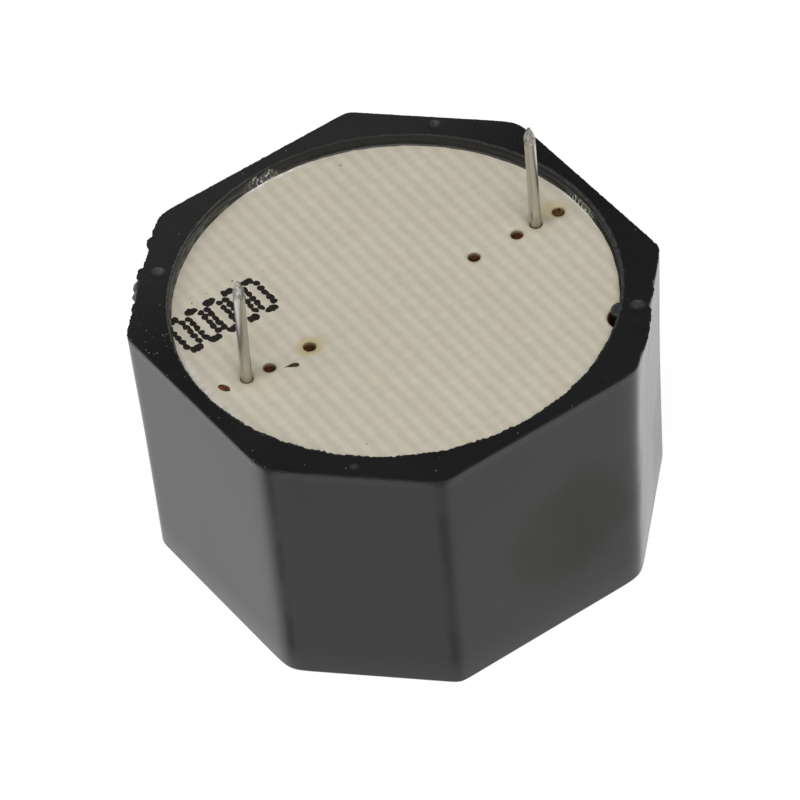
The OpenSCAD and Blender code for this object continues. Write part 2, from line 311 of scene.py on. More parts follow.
class Wiring:
    """Shorthand for adding nodes to one node tree and joining them."""

    def __init__(self, tree):
        self.tree = tree

    def add(self, kind, **settings):
        """Adds a node; sockets holds the value of each input or the output that feeds it."""
        made = self.tree.nodes.new("ShaderNode" + kind)
        sockets = settings.pop("sockets", {})
        for key, value in settings.items():
            setattr(made, key, value)
        for key, value in sockets.items():
            self.feed(made.inputs[key], value)
        return made

    def feed(self, socket, value):
        """Joins an output to a socket, or sets the socket's own value."""
        if isinstance(value, bpy.types.NodeSocket):
            self.tree.links.new(value, socket)
        elif hasattr(socket.default_value, "__len__") and len(value) < len(socket.default_value):
            socket.default_value = (*value, 1.0)
        else:
            socket.default_value = value

    def feed_all(self, inputs, **values):
        """Feeds several sockets; an underscore in a name stands for a space."""
        for key, value in values.items():
            self.feed(inputs[key.replace("_", " ")], value)

    def sum(self, operation, first, second=0.5, third=0.0):
        """Output of a Math node."""
        made = self.add("Math", operation=operation)
        for socket, value in zip(made.inputs, (first, second, third)):
            self.feed(socket, value)
        return made.outputs[0]

    def times(self, first, second):
        """One value times another."""
        return self.sum("MULTIPLY", first, second)

    def total(self, start, *parts):
        """A start value plus each further value times its own gain."""
        for value, gain in parts:
            start = self.sum("MULTIPLY_ADD", value, gain, start)
        return start

    def axes(self, vector):
        """X, Y and Z of a vector."""
        return self.add("SeparateXYZ", sockets={"Vector": vector}).outputs

    def noise(self, vector, scale, detail=3.0, roughness=0.5, stretch=(1, 1, 1)):
        """Noise over a vector that is squeezed by stretch first."""
        squeezed = self.add("Mapping", sockets={"Vector": vector, "Scale": stretch}).outputs[0]
        return self.add(
            "TexNoise",
            sockets={"Vector": squeezed, "Scale": scale, "Detail": detail, "Roughness": roughness},
        ).outputs["Fac"]

    def between(self, value, low, high, start=0.0, end=1.0):
        """Maps value from low..high to start..end and clamps it."""
        made = self.add("MapRange", interpolation_type="SMOOTHSTEP")
        self.feed_all(
            made.inputs, Value=value, From_Min=low, From_Max=high, To_Min=start, To_Max=end
        )
        return made.outputs[0]

    def blend(self, factor, first, second, mode="MIX"):
        """Mix of two colours."""
        made = self.add("Mix", data_type="RGBA", blend_type=mode)
        self.feed(made.inputs[0], factor)
        self.feed(made.inputs[6], first)
        self.feed(made.inputs[7], second)
        return made.outputs[2]

    def clouds(self, vector, scale, detail, roughness, stretch, *limits):
        """Noise that is mapped between limits."""
        return self.between(self.noise(vector, scale, detail, roughness, stretch), *limits)

    def layers(self, tone, *coats, mode="MIX"):
        """Lays colours over a first one in turn, each through its own mask."""
        for mask, coat in coats:
            tone = self.blend(mask, tone, coat, mode)
        return tone

    def mark(self, name):
        """A value kept on the mesh's points."""
        return self.add("Attribute", attribute_name=name).outputs["Fac"]

    def group(self, name, **values):
        """A shared effect, with this material's own values."""
        made = self.add("Group", node_tree=bpy.data.node_groups[name])
        self.feed_all(made.inputs, **values)
        return made.outputs

    def bumps(self, *raised):
        """Normal of a surface raised in turn by each height, over a distance in metres."""
        normal = None
        for height, distance, strength in raised:
            made = self.add(
                "Bump", sockets={"Height": height, "Distance": distance, "Strength": strength}
            )
            if normal is not None:
                self.feed(made.inputs["Normal"], normal)
            normal = made.outputs[0]
        return normal


def shared_effect(name, inputs, outputs):
    """A new node group with named inputs and outputs; gives its wiring and both its ends."""
    tree = bpy.data.node_groups.new(name, "ShaderNodeTree")
    for label, kind, default in inputs:
        socket = tree.interface.new_socket(
            name=label, in_out="INPUT", socket_type="NodeSocket" + kind
        )
        if default is not None:
            socket.default_value = default
    for label in outputs:
        tree.interface.new_socket(name=label, in_out="OUTPUT", socket_type="NodeSocketFloat")
    source = tree.nodes.new("NodeGroupInput").outputs
    return Wiring(tree), source, tree.nodes.new("NodeGroupOutput").inputs


def finish_of(name, **constants):
    """A new material; gives it, its wiring, its shader and the object's own coordinates."""
    made = bpy.data.materials.new(name)
    made.use_nodes = True
    wiring = Wiring(made.node_tree)
    shader = made.node_tree.nodes["Principled BSDF"]
    wiring.feed_all(shader.inputs, **constants)
    return made, wiring, shader, wiring.add("TexCoord").outputs["Object"]


def dimmed(tone, gains):
    """A colour times one number, or times one for each channel."""
    return tuple(float(channel) for channel in np.array(tuple(tone)) * gains)


# Shares of the crossing threads and of the checks in the weave, next to the warp's share of 1
CROSS_SHARE, CHECK_SHARE = 0.28, 0.3


def make_shared_effects():
    """Builds the groups that several finishes use."""
    vector = ("Vector", "Vector", None)

    # Grain: fine height and slow mottle, both about 0 to 1
    wiring, source, result = shared_effect(
        "moulded grain", [vector, ("Fineness", "Float", 4000.0)], ["Height", "Mottle"]
    )
    slow = wiring.times(source["Fineness"], 0.12)
    wiring.feed_all(
        result,
        Height=wiring.noise(source["Vector"], source["Fineness"], 4.0, 0.6),
        Mottle=wiring.noise(source["Vector"], slow, 3.0, 0.55),
    )

    # Specks: small round spots, 1 in the spot, in the share of the cells that Amount gives
    inputs = [("Cells", "Float", 1500.0), ("Amount", "Float", 0.1), ("Size", "Float", 0.25)]
    wiring, source, result = shared_effect("scattered specks", [vector, *inputs], ["Mask"])
    cells = wiring.add(
        "TexVoronoi", sockets={"Vector": source["Vector"], "Scale": source["Cells"]}
    ).outputs
    near = wiring.sum("LESS_THAN", cells["Distance"], source["Size"])
    pick = wiring.add("SeparateColor", sockets={"Color": cells["Color"]}).outputs[0]
    chosen = wiring.sum("LESS_THAN", pick, source["Amount"])
    wiring.feed(result["Mask"], wiring.times(near, chosen))

    # Weave: cos(2 pi x / warp), the crossing threads' cos(2 pi y / weft) and the checks'
    # cos(pi x / warp) cos(pi y / weft), each times its share, added up as 0 to 1
    inputs = [("Warp", "Float", 0.00075), ("Weft", "Float", 0.00057), ("Wander", "Float", 0.0002)]
    wiring, source, result = shared_effect(
        "laminate weave", [vector, *inputs], ["Height", "Fibres"]
    )
    axes = wiring.axes(source["Vector"])
    drift = wiring.sum("SUBTRACT", wiring.noise(source["Vector"], 900.0, 2.0), 0.5)
    phases = []
    for way, pitch in (("X", "Warp"), ("Y", "Weft")):
        wandering = wiring.total(axes[way], (drift, source["Wander"]))
        phases.append(wiring.times(wiring.sum("DIVIDE", wandering, source[pitch]), math.pi))
    rib, cross = (wiring.sum("COSINE", wiring.times(phase, 2.0)) for phase in phases)
    check = wiring.times(*(wiring.sum("COSINE", phase) for phase in phases))
    relief = wiring.total(rib, (cross, CROSS_SHARE), (check, CHECK_SHARE))
    wiring.feed_all(
        result,
        Height=wiring.total(0.5, (relief, 0.31)),
        Fibres=wiring.noise(source["Vector"], 5200.0, 3.0, 0.6, (1.0, 0.12, 1.0)),
    )

    # Drawn lines: scratches that run along Z
    wiring, source, result = shared_effect(
        "drawn lines", [vector, ("Fineness", "Float", 9000.0)], ["Height"]
    )
    lines = wiring.noise(source["Vector"], source["Fineness"], 3.0, 0.6, (1.0, 1.0, 0.04))
    wiring.feed(result["Height"], lines)


# The dull stain on one side, in metres: its middle, where it starts and where it is full
STAIN_PLACE = (1.3 * MM, -RIM_HALF * MM, 6.8 * MM)
STAIN_START, STAIN_FULL = 7.4 * MM, 3.4 * MM
# Heights between which a side turns into the rim, and those of the duller foot, in metres
RIM_FADE, FOOT_FADE = (14.4 * MM, 14.9 * MM), (9.0 * MM, 1.0 * MM)
# Tones of the plastic: smears, stain, rim, far part of the rim (painted light, lighter away from
# the camera), dust
SMEAR_TONE, STAIN_TONE = (0.0078, 0.0082, 0.0094), (0.0115, 0.0108, 0.0065)
RIM_TONE, FAR_RIM_PAINTED_LIGHT, DUST_TONE = (0.0105, 0.0102, 0.0092), (0.018, 0.0185, 0.0175), (0.2, 0.2, 0.19)


def plastic_finish(settings):
    """Black moulded plastic: smears in the gloss, torn edges, dust on the rim, dull bands; painted
    light on the rim's far half and painted highlights in the dimples.
    """
    made, wiring, shader, place = finish_of(
        "Black plastic", IOR=1.43, Specular_Tint=(0.97, 0.99, 1.0)
    )
    grain = wiring.group("moulded grain", Vector=place, Fineness=3600.0)
    axes, torn = wiring.axes(place), wiring.mark("torn")
    smear = wiring.clouds(place, 110.0, 2.0, 0.5, (1.0, 1.0, 0.45), 0.4, 0.66)
    streaks = wiring.clouds(place, 900.0, 3.0, 0.6, (1.0, 1.0, 0.16), 0.5, 0.75)
    patch = wiring.clouds(place, 700.0, 3.0, 0.6, (1.0, 1.0, 0.45), 0.36, 0.56, 0.65, 1.0)
    away = wiring.add("VectorMath", operation="DISTANCE", sockets={0: place, 1: STAIN_PLACE})
    ragged_away = wiring.total(
        away.outputs["Value"], (wiring.noise(place, 420.0, 3.0, 0.55), 2.2 * MM)
    )
    stain = wiring.between(ragged_away, STAIN_START, STAIN_FULL)
    high, low = (wiring.between(axes["Z"], *fade) for fade in (RIM_FADE, FOOT_FADE))
    # The rim's far half, away from the camera, is made lighter: painted light, not a tone of the
    # plastic
    far = wiring.times(high, wiring.between(axes["Y"], 2.0 * MM, 11.0 * MM))
    band = wiring.times(wiring.mark("dull"), patch)
    dusty = wiring.times(wiring.mark("dust"), 0.2)
    specks = wiring.group("scattered specks", Vector=place, Cells=6400.0, Amount=dusty, Size=0.27)
    dust = wiring.times(specks["Mask"], wiring.between(grain["Mottle"], 0.4, 0.6, 0.1, 0.7))
    # The torn mark gives torn flash its pale colour; in the dimples the same colour is a painted
    # highlight
    broken = wiring.times(torn, wiring.between(grain["Height"], 0.3, 0.65, 0.3, 1.0))
    tone = wiring.layers(
        settings.plastic, (wiring.times(smear, 0.4), SMEAR_TONE),
        (wiring.times(stain, 0.8), STAIN_TONE), (wiring.times(high, 0.35), RIM_TONE),
        (far, FAR_RIM_PAINTED_LIGHT), (broken, settings.flash), (dust, DUST_TONE),
    )
    rough = wiring.total(
        settings.gloss - 0.03, (grain["Mottle"], 0.06), (smear, 0.06), (streaks, 0.025),
        (stain, 0.3), (low, 0.04), (band, 0.42), (torn, 0.25), (high, 0.22),
    )
    rise = wiring.times(wiring.noise(place, 1500.0, 3.0, 0.6), wiring.total(0.03, (high, 0.9)))
    normal = wiring.bumps((rise, 0.00006, 0.6), (grain["Height"], 0.000005, 0.4))
    wiring.feed_all(shader.inputs, Base_Color=tone, Roughness=rough, Normal=normal)
    return made


# Tones on the laminate: warm, cool and bleached patches, bright fibres, powder, pits, burnt wall
WARM_TINT, COOL_TINT, BLOOM_TINT = (1.0, 0.965, 0.955), (0.96, 0.99, 0.985), (0.955, 0.955, 0.955)
FIBRE_TINT, POWDER_TONE = (1.06, 1.05, 1.03), (0.82, 0.815, 0.77)
PIT_TONE, BURNT_TONE = (0.16, 0.13, 0.09), (0.19, 0.07, 0.018)


def laminate_finish(settings):
    """Glass-cloth laminate: woven ribs, fibres, drilled brown edges, flux stains and dark pits."""
    made, wiring, shader, place = finish_of("Glass laminate", IOR=1.5)
    board_place = wiring.add(
        "Mapping", vector_type="TEXTURE", sockets={"Vector": place, "Rotation": (0, 0, BOARD_TURN)}
    ).outputs[0]
    weave = wiring.group(
        "laminate weave", Vector=board_place, Warp=settings.warp, Weft=settings.weft
    )
    grain = wiring.group("moulded grain", Vector=board_place, Fineness=2600.0)
    pits = wiring.group(
        "scattered specks", Vector=board_place, Cells=900.0, Amount=0.035, Size=0.07
    )["Mask"]
    valley, ridge = (dimmed(settings.laminate, k) for k in ((0.92, 0.932, 0.935), 1.03))
    tone = wiring.blend(wiring.between(weave["Height"], 0.1, 0.95), valley, ridge)
    warm = wiring.clouds(board_place, 520.0, 3.0, 0.55, (1.5, 1.0, 1.0), 0.42, 0.66)
    cool = wiring.clouds(board_place, 430.0, 3.0, 0.55, (1.2, 1.0, 2.0), 0.45, 0.7)
    bloom = wiring.clouds(board_place, 1700.0, 3.0, 0.6, (0.6, 1.0, 1.0), 0.3, 0.7)
    fibres = wiring.between(weave["Fibres"], 0.35, 0.75, 0.0, 0.22)
    tone = wiring.layers(
        tone, (wiring.times(warm, 0.6), WARM_TINT), (wiring.times(cool, 0.6), COOL_TINT),
        (bloom, BLOOM_TINT), (fibres, FIBRE_TINT), mode="MULTIPLY",
    )
    flux = wiring.times(wiring.mark("flux"), wiring.between(grain["Mottle"], 0.3, 0.6, 0.6, 1.0))
    powder = wiring.times(
        wiring.mark("pale"), wiring.between(grain["Height"], 0.38, 0.58, 0.25, 1.0)
    )
    brown = wiring.blend(wiring.between(grain["Height"], 0.4, 0.7), settings.scorch, BURNT_TONE)
    tone = wiring.layers(
        tone, (flux, settings.flux), (wiring.mark("soot"), dimmed(settings.laminate, 0.55)),
        (powder, POWDER_TONE), (wiring.times(pits, 0.6), PIT_TONE), (wiring.mark("scorch"), brown),
    )
    normal = wiring.bumps((weave["Height"], 0.000018, 0.8), (weave["Fibres"], 0.000006, 0.5))
    rough = wiring.total(0.42, (grain["Mottle"], 0.2))
    wiring.feed_all(shader.inputs, Base_Color=tone, Roughness=rough, Normal=normal)
    return made


def sealant_finish(settings):
    """Dark resin, glossy where clean, with grey scratches round the bore and white flakes."""
    made, wiring, shader, place = finish_of("Sealing resin")
    grain = wiring.group("moulded grain", Vector=place, Fineness=3000.0)
    axes = wiring.axes(place)
    round_bore = wiring.times(wiring.sum("ARCTAN2", axes["Y"], axes["X"]), BORE_R * MM)
    unrolled = wiring.add(
        "CombineXYZ", sockets={"X": round_bore, "Y": 0.0, "Z": axes["Z"]}
    ).outputs[0]
    streak = wiring.noise(unrolled, 7000.0, 4.0, 0.7, (0.16, 1.0, 1.0))
    scraped_off = wiring.clouds(unrolled, 6500.0, 4.0, 0.7, (1.0, 1.0, 0.7), 0.5, 0.62)
    chalk = wiring.times(wiring.mark("chalk"), wiring.between(streak, 0.42, 0.62, 0.15, 1.0))
    flakes = wiring.times(wiring.mark("flakes"), scraped_off)
    tone = wiring.layers(
        settings.sealant, (grain["Mottle"], dimmed(settings.sealant, 0.55)),
        (wiring.times(chalk, 0.8), DUST_TONE), (flakes, (0.7, 0.7, 0.66)),
    )
    rough = wiring.between(wiring.sum("ADD", chalk, flakes), 0.0, 0.8, 0.35, 0.75)
    normal = wiring.bumps((streak, 0.00002, 0.4))
    wiring.feed_all(shader.inputs, Base_Color=tone, Roughness=rough, Normal=normal)
    return made


def wire_finish(settings):
    """Tinned wire: drawn lines along its length, dull flux near the board, a rough coined tip."""
    made, wiring, shader, place = finish_of("Tinned wire", Metallic=1.0)
    lines = wiring.group("drawn lines", Vector=place, Fineness=7000.0)["Height"]
    mottle = wiring.group("moulded grain", Vector=place, Fineness=9000.0)["Mottle"]
    height = wiring.axes(place)["Z"]
    dull = wiring.between(height, (BOARD_TOP + 1.1) * MM, (BOARD_TOP + 0.1) * MM)
    cut = wiring.between(height, (PIN_TOP - 1.0) * MM, (PIN_TOP - 0.75) * MM)
    worn = wiring.times(cut, wiring.clouds(place, 6000.0, 4.0, 0.7, (1.0, 1.0, 0.4), 0.4, 0.62))
    drawn = wiring.between(lines, 0.35, 0.65)
    fluxed = wiring.times(dull, wiring.between(mottle, 0.4, 0.6, 0.2, 0.7))
    tone = wiring.layers(
        dimmed(settings.metal, 0.84), (drawn, settings.metal), (fluxed, (0.36, 0.31, 0.22)),
        (worn, dimmed(settings.metal, 0.36)),
    )
    rough = wiring.total(0.2, (mottle, 0.2), (cut, 0.12), (dull, 0.1))
    normal = wiring.bumps((lines, 0.000012, 0.6), (worn, 0.00002, 0.6), (mottle, 0.00001, 0.35))
    wiring.feed_all(shader.inputs, Base_Color=tone, Roughness=rough, Normal=normal)
    return made


def spot_finish(name, tone, darker, fineness, rough):
    """Dull spots of ink or resin with a fine broken surface."""
    made, wiring, shader, place = finish_of(name, IOR=1.3)
    grain = wiring.group("moulded grain", Vector=place, Fineness=fineness)
    wiring.feed_all(
        shader.inputs,
        Base_Color=wiring.blend(wiring.between(grain["Height"], 0.35, 0.65), tone, darker),
        Roughness=wiring.total(rough - 0.15, (grain["Mottle"], 0.3)),
        Normal=wiring.bumps((grain["Height"], 0.00001, 0.6)),
    )
    return made


def inner_finish(name, tone, second, rough, metal=0.0, fineness=2500.0, lines=False):
    """Finish of a hidden part: two tones in grain, and drawn lines on rolled metal."""
    made, wiring, shader, place = finish_of(name, Metallic=metal)
    grain = wiring.group("moulded grain", Vector=place, Fineness=fineness)
    drawn = wiring.group("drawn lines", Vector=place, Fineness=fineness) if lines else grain
    wiring.feed_all(
        shader.inputs,
        Base_Color=wiring.blend(wiring.between(grain["Mottle"], 0.35, 0.65), tone, second),
        Roughness=wiring.total(rough - 0.1, (grain["Mottle"], 0.2)),
        Normal=wiring.bumps((drawn["Height"], 0.00001, 0.5)),
    )
    return made


# ---------- Shapes ----------


def loop_angles(count, dense):
    """Angles round the body, closer together near each dense place (angle, half width, gain).

    They are read off the inverse of the summed density.
    """
    fine = np.linspace(0, TURN, 20001)
    density = np.ones_like(fine)
    for angle, width, gain in dense:
        away = np.abs((fine - angle + math.pi) % TURN - math.pi)
        density += gain * np.exp(-((away / width) ** 4))
    reached = np.concatenate([[0], np.cumsum((density[1:] + density[:-1]) / 2)])
    return np.interp(np.arange(count) / count * reached[-1], reached, fine)


def octagon_reach(angle, halves, power):
    """Distance from the axis to a rounded octagon.

    It is the power mean of the eight distances half / cos(angle - side).
    """
    facing = np.cos(np.subtract.outer(angle, np.arange(8) * math.pi / 4))
    nearness = np.where(facing > 0.05, facing, 0.05) / halves
    nearest = nearness.max(-1, keepdims=True)
    power = np.asarray(power + 0 * angle)
    return 1 / (nearest[..., 0] * ((nearness / nearest) ** power[..., None]).sum(-1) ** (1 / power))


# Flare of each side at the rim, and how ragged its edge is, from the side at 0 degrees on
FLARE = np.array([0.0, 0.03, 0.0, 0.15, 0.0, 0.07, 0.0, 0.15])
RAGGED = (0.6, 0.3, 0.6, 0.8, 0.9, 0.7, 0.35, 1.15)
# Burrs: side, place along it, how far each stands out, half width, depth of its middle below the
# rim, reach up and down
BURRS = (
    (135, 2.33, 0.20, 0.33, 0.05, 0.26), (135, 0.08, 0.27, 0.42, 0.05, 0.26),
    (135, -0.62, 0.35, 0.44, 0.34, 0.24), (135, -1.10, 0.28, 0.38, 0.42, 0.24),
    (135, -2.27, 0.07, 0.26, 0.05, 0.26), (135, 0.80, 0.05, 0.20, 0.05, 0.26),
    (135, 3.10, 0.04, 0.30, 0.05, 0.26), (45, 0.12, -0.10, 0.13, 0.00, 0.30),
    (315, 1.45, 0.20, 1.45, 0.00, 0.60), (315, 0.52, 0.05, 0.25, 0.00, 0.40),
    (315, -1.15, 0.07, 0.32, 0.00, 0.40), (315, 3.20, -0.07, 0.22, 0.00, 0.40),
    (315, -2.6, 0.03, 0.3, 0.0, 0.3), (315, 0.95, -0.06, 0.12, 0.00, 0.40),
    (315, -0.30, -0.07, 0.16, 0.00, 0.40), (315, -1.90, -0.07, 0.14, 0.00, 0.40),
)
# Dimples: direction, distance from the axis, radius, depth, depth of the crease in the far wall
DIMPLES = (
    (44.05, 12.08, 0.36, 0.16, 0.10), (134.1, 12.00, 0.42, 0.17, 0.10),
    (225, 12.12, 0.30, 0.02, 0.0), (315.1, 12.22, 0.50, 0.13, 0.0),
)
# Stretches that look different: direction, half width in radians, power of the falloff
STRETCHES = {
    "near side": (-120, 1.05, 4), "worn side": (-16, 0.8, 4), "left side": (-158, 0.42, 4),
    "scraped": (146, 0.85, 4), "dirty": (160, 0.2, 2), "torn side": (135, 0.36, 8),
    "left band": (-153.2, 0.026, 2), "right band": (-116.4, 0.032, 2),
    "white": (91, 0.085, 4), "residue": (-3, 0.09, 4), "key gap": (-45, 0.09, 6),
}
# Direction of the key, and how far its rib and its notch lie outside the bore
KEY_ANGLE = math.radians(-44.3)
RIB_OUT, NOTCH_OUT = 0.07, 0.2


def around_side(angle, direction, width, power):
    """1 in the middle of a side and falling off round the body as exp(-|turn / width|^power)."""
    return hump(np.abs((angle - direction + math.pi) % TURN - math.pi), 0.0, width, power)


def stretch(angle, name):
    """1 in the middle of a named stretch, falling off round the body."""
    degrees, width, power = STRETCHES[name]
    return around_side(angle, math.radians(degrees), width, power)


def turned(x, y, turn=BOARD_TURN):
    """Points of the board's own frame in the part's frame."""
    return x * math.cos(turn) - y * math.sin(turn), x * math.sin(turn) + y * math.cos(turn)


def shell_surface(settings):
    """Closed section carried round the axis: sound face, side, rim, bore, cavity, chamber, port."""
    short_half = RIM_HALF + settings.diagonal_gain / MM / 2
    draft, bevel = settings.draft / MM, settings.face_bevel / MM
    mouth, edge = settings.mouth_bevel / MM, settings.rim_edge / MM
    floor_z, port_r = settings.face_wall / MM, settings.port / MM / 2
    chamber_r = CAVITY_R - settings.seat_width / MM
    corner = math.atan2(short_half * math.sqrt(2) - RIM_HALF, RIM_HALF)
    corners = [k * math.pi / 2 + s * corner for k in range(4) for s in (-1, 1)]
    dense = [(c % TURN, 0.05, 1.6) for c in corners]
    dense += [(math.radians(d[0]), 0.06, 2.0) for d in DIMPLES] + [(math.radians(135), 0.33, 0.9)]
    angle = loop_angles(1120, dense)
    halves = np.where(np.arange(8) % 2 == 0, RIM_HALF, short_half)
    # Every other corner is rounded more
    blunt = 84.0 - 26.0 * np.cos(4 * (angle - math.radians(22.5)))

    def reach(z, power):
        fall = draft * (RIM_Z - z) / (RIM_Z - bevel)
        return octagon_reach(angle, halves - fall + FLARE * hump(z, RIM_Z, 5.0), power)

    sides = np.arange(8) * math.pi / 4
    weight = sum(w * around_side(angle, d, 0.42, 6) for w, d in zip(RAGGED, sides))
    ragged = settings.ragged / MM * weight
    coarse, fine = ripple(angle, 3, 60, 240, 40), ripple(angle, 4, 200, 420, 40)
    rough_out = ragged * (0.45 * coarse + 0.4 * fine)
    coarse, fine = ripple(angle, 5, 50, 200, 40), ripple(angle, 6, 160, 380, 40)
    rough_in = settings.ragged / MM * (0.6 * coarse + 0.4 * fine)
    near_side, worn_side = stretch(angle, "near side"), stretch(angle, "worn side")
    mouth_width = mouth + 0.12 * worn_side
    steps = 0.5 + 0.4 * np.tanh(4 * ripple(angle, 15, 14, 60, 16))
    steps = steps + 0.34 * ripple(angle, 16, 80, 300, 30)
    lumps = settings.lumps / MM * (0.12 + 0.88 * near_side) * steps
    rough_in = rough_in * (1 + 1.1 * near_side)
    scraped, left_side, dirty = (stretch(angle, k) for k in ("scraped", "left side", "dirty"))
    dull_band = stretch(angle, "left band") + stretch(angle, "right band")
    stations = []

    def burr(z):
        """How far the burrs stand out at a height."""
        total = 0 * angle
        for side, place, out, width, below, tall in BURRS:
            turn = math.radians(side) - angle
            along = reach(RIM_Z, blunt) * np.sin(turn)
            shape = hump(along, place, width, 4) * hump(z, RIM_Z - below, tall, 2)
            shape = np.where(np.cos(turn) > 0.9, out * shape, 0.0)
            total = np.maximum(total, shape) if out > 0 else total + shape
        return total * (1 + 0.05 * ripple(angle, 8, 80, 200, 20))

    def station(*values):
        """Adds a ring: radius, height, and how torn (in the dimples, how much painted highlight),
        dusty and dull it is, each 0 if left out.
        """
        values = (*values, 0.0, 0.0, 0.0)[:5]
        stations.append([value + 0 * angle for value in values])

    foot = reach(0.0, blunt)
    for t in np.linspace(0.12, 1, 8):
        station(port_r + 0.15 + (foot - bevel - port_r - 0.15) * t, 0.0)
    for t in np.linspace(0, 1, 6)[1:]:
        bend = t * math.pi / 2
        z = bevel * (1 - math.cos(bend))
        station(reach(z, blunt) - bevel * (1 - math.sin(bend)), z)
    below_rim = np.array([0.75, 0.55, 0.42, 0.3, 0.2, 0.1])
    for z in np.concatenate([np.linspace(bevel, RIM_Z - 1.0, 9)[1:], RIM_Z - below_rim]):
        near, out = hump(z, RIM_Z, 0.16), burr(z)
        torn = soft_step(out, 0.1, 0.34) * 0.8 * stretch(angle, "torn side")
        station(reach(z, blunt) + near * rough_out * 0.7 + out, z, torn, 0.0, dull_band)
    rim_reach = reach(RIM_Z, blunt) + rough_out + burr(RIM_Z)
    lift = 0.008 * ripple(angle, 9, 8, 60, 30)
    for t in np.linspace(0, 1, 4)[:-1]:
        bend = t * math.pi / 2
        z = RIM_Z - edge * (1 - math.sin(bend)) + t * lift
        station(rim_reach - edge * (1 - math.cos(bend)), z, 0.0, 0.0, 1.0)
    inner = BORE_R + mouth_width + rough_in
    away_way = (-math.sin(VIEW_TURN), math.cos(VIEW_TURN))
    for t in np.linspace(0, 1, 31):
        radius = rim_reach - edge - (rim_reach - edge - inner) * t
        # Here worn holds a painted highlight on each dimple's far wall, away from the camera; it
        # goes into the torn mark
        z, worn = RIM_Z + lift, 0 * angle
        for turn, distance, wide, depth, crease in DIMPLES:
            x = radius * np.cos(angle) - distance * math.cos(math.radians(turn))
            y = radius * np.sin(angle) - distance * math.sin(math.radians(turn))
            bowl = np.clip(1 - (x * x + y * y) / wide**2, 0, 1)
            along, across = x * away_way[0] + y * away_way[1], x * away_way[1] - y * away_way[0]
            fold = crease * hump(across, 0, 0.07) * soft_step(along, -0.05, 0.1) * np.sqrt(bowl)
            z = z - depth * bowl - fold
            # Painted highlight over the far half of the bowl
            worn = worn + 0.28 * bowl * soft_step(along, -0.25, 0.25)
        station(radius, z, worn, 0.12 + 0.88 * dirty)
    for t in np.linspace(0, 1, 5)[1:]:
        bend = t * math.pi / 2
        radius = inner - (mouth_width + rough_in) * math.sin(bend) - lumps * t
        torn = (0.04 + 0.45 * scraped + 0.2 * worn_side + 0.3 * left_side) * 4 * t * (1 - t)
        z = RIM_Z + lift * (1 - t) - mouth * (1 - math.cos(bend))
        station(radius, z, torn + 0.1 * scraped, 0.0, 1.0)
    for z in np.linspace(RIM_Z - mouth, BOARD_LOW, 9)[1:]:
        station(BORE_R - lumps * soft_step(z, BOARD_TOP + 0.15, RIM_Z), z, 0.15 * scraped)
    for radius, z in (
        (CAVITY_R, BOARD_LOW), (CAVITY_R, (BOARD_LOW + SEAT_Z) / 2), (CAVITY_R, SEAT_Z),
        (chamber_r, SEAT_Z), (chamber_r, floor_z), ((chamber_r + port_r) / 2, floor_z),
        (port_r + 0.1, floor_z), (port_r, floor_z - 0.1), (port_r, floor_z / 2), (port_r, 0.15),
        (port_r + 0.05, 0.04), (port_r + 0.15, 0.0),
    ):
        station(radius, z)
    radius, z, *marks = np.array(stations).transpose(1, 0, 2)
    marks = {k: np.clip(v.ravel(), 0, 1) for k, v in zip(("torn", "dust", "dull"), marks)}
    points = points_at(radius * np.cos(angle), radius * np.sin(angle), z)
    return points, [grid_faces(len(stations), len(angle), rows_closed=True)], marks


def rib_surface():
    """Rounded post on the bore's wall: its section a circle, its top a quarter of an ellipse."""
    ring_r, radius, rounding = BORE_R + RIB_OUT, 0.52, 0.16
    top = BOARD_TOP + 0.4
    around = np.linspace(0, TURN, 48, endpoint=False)
    bend = np.linspace(0, math.pi / 2, 8)
    size = np.concatenate(
        [np.full(10, radius), radius - rounding * (1 - np.cos(bend)), np.linspace(0.25, 0.05, 3)]
    )
    shoulder = top - rounding
    z = np.concatenate(
        [np.linspace(BOARD_LOW, shoulder, 10), shoulder + rounding * np.sin(bend), np.full(3, top)]
    )
    wobble = 1 + 0.03 * ripple(around, 12, 2, 9, 8)
    x = ring_r + np.multiply.outer(size, np.cos(around) * wobble)
    y = np.multiply.outer(size, np.sin(around) * wobble)
    points = points_at(*turned(x, y, KEY_ANGLE), z[:, None])
    ends = points_at(*turned(ring_r, 0.0, KEY_ANGLE), z[[0, -1]])
    return np.concatenate([points, ends]), tube_faces(len(z), len(around))


# Empty holes of the board, in its own frame, from left to right
BOARD_HOLES = ((-7.47, 0.06), (-5.10, 0.03), (4.92, 0.12), (7.53, 0.09), (10.11, 0.13))


LEFT_STAIN = (BOARD_HOLES[1][0], 0.0)
RIGHT_STAIN = (BOARD_HOLES[4][0] - 0.12, 0.36)
PIN_FEET = ((-PITCH_HALF, 0.1), (PITCH_HALF, 0.1))
# Stains round a place: radius of the ring where each is strongest, half width, power, strength
FLUX_STAINS = (
    (LEFT_STAIN, 0.3, 0.42, 4, 0.85), (RIGHT_STAIN, 0.1, 0.62, 3, 1.1),
    (PIN_FEET[0], 0.4, 0.3, 2, 0.22), (PIN_FEET[1], 0.45, 0.3, 2, 0.25),
)
SOOT_STAINS = (
    (PIN_FEET[0], 0.45, 0.4, 2, 0.3), (PIN_FEET[1], 0.5, 0.35, 2, 0.25),
    ((9.45, -0.14), 0, 0.22, 2, 0.3),
)
# Powder at the board's edge: distance from it, half width, power, direction, half turn, strength
POWDER_STAINS = (
    (0.08, 0.13, 4, 89, 9, 1.0), (0.02, 0.07, 4, -3, 9, 0.8), (0.32, 0.22, 2, 180, 22, 0.6),
)
# Fall of the board at the lip of a hole, width of that lip, and reach of the burnt edge
LIP_DROP, LIP_WIDTH, BURN_REACH = 0.05, 0.1, 0.05


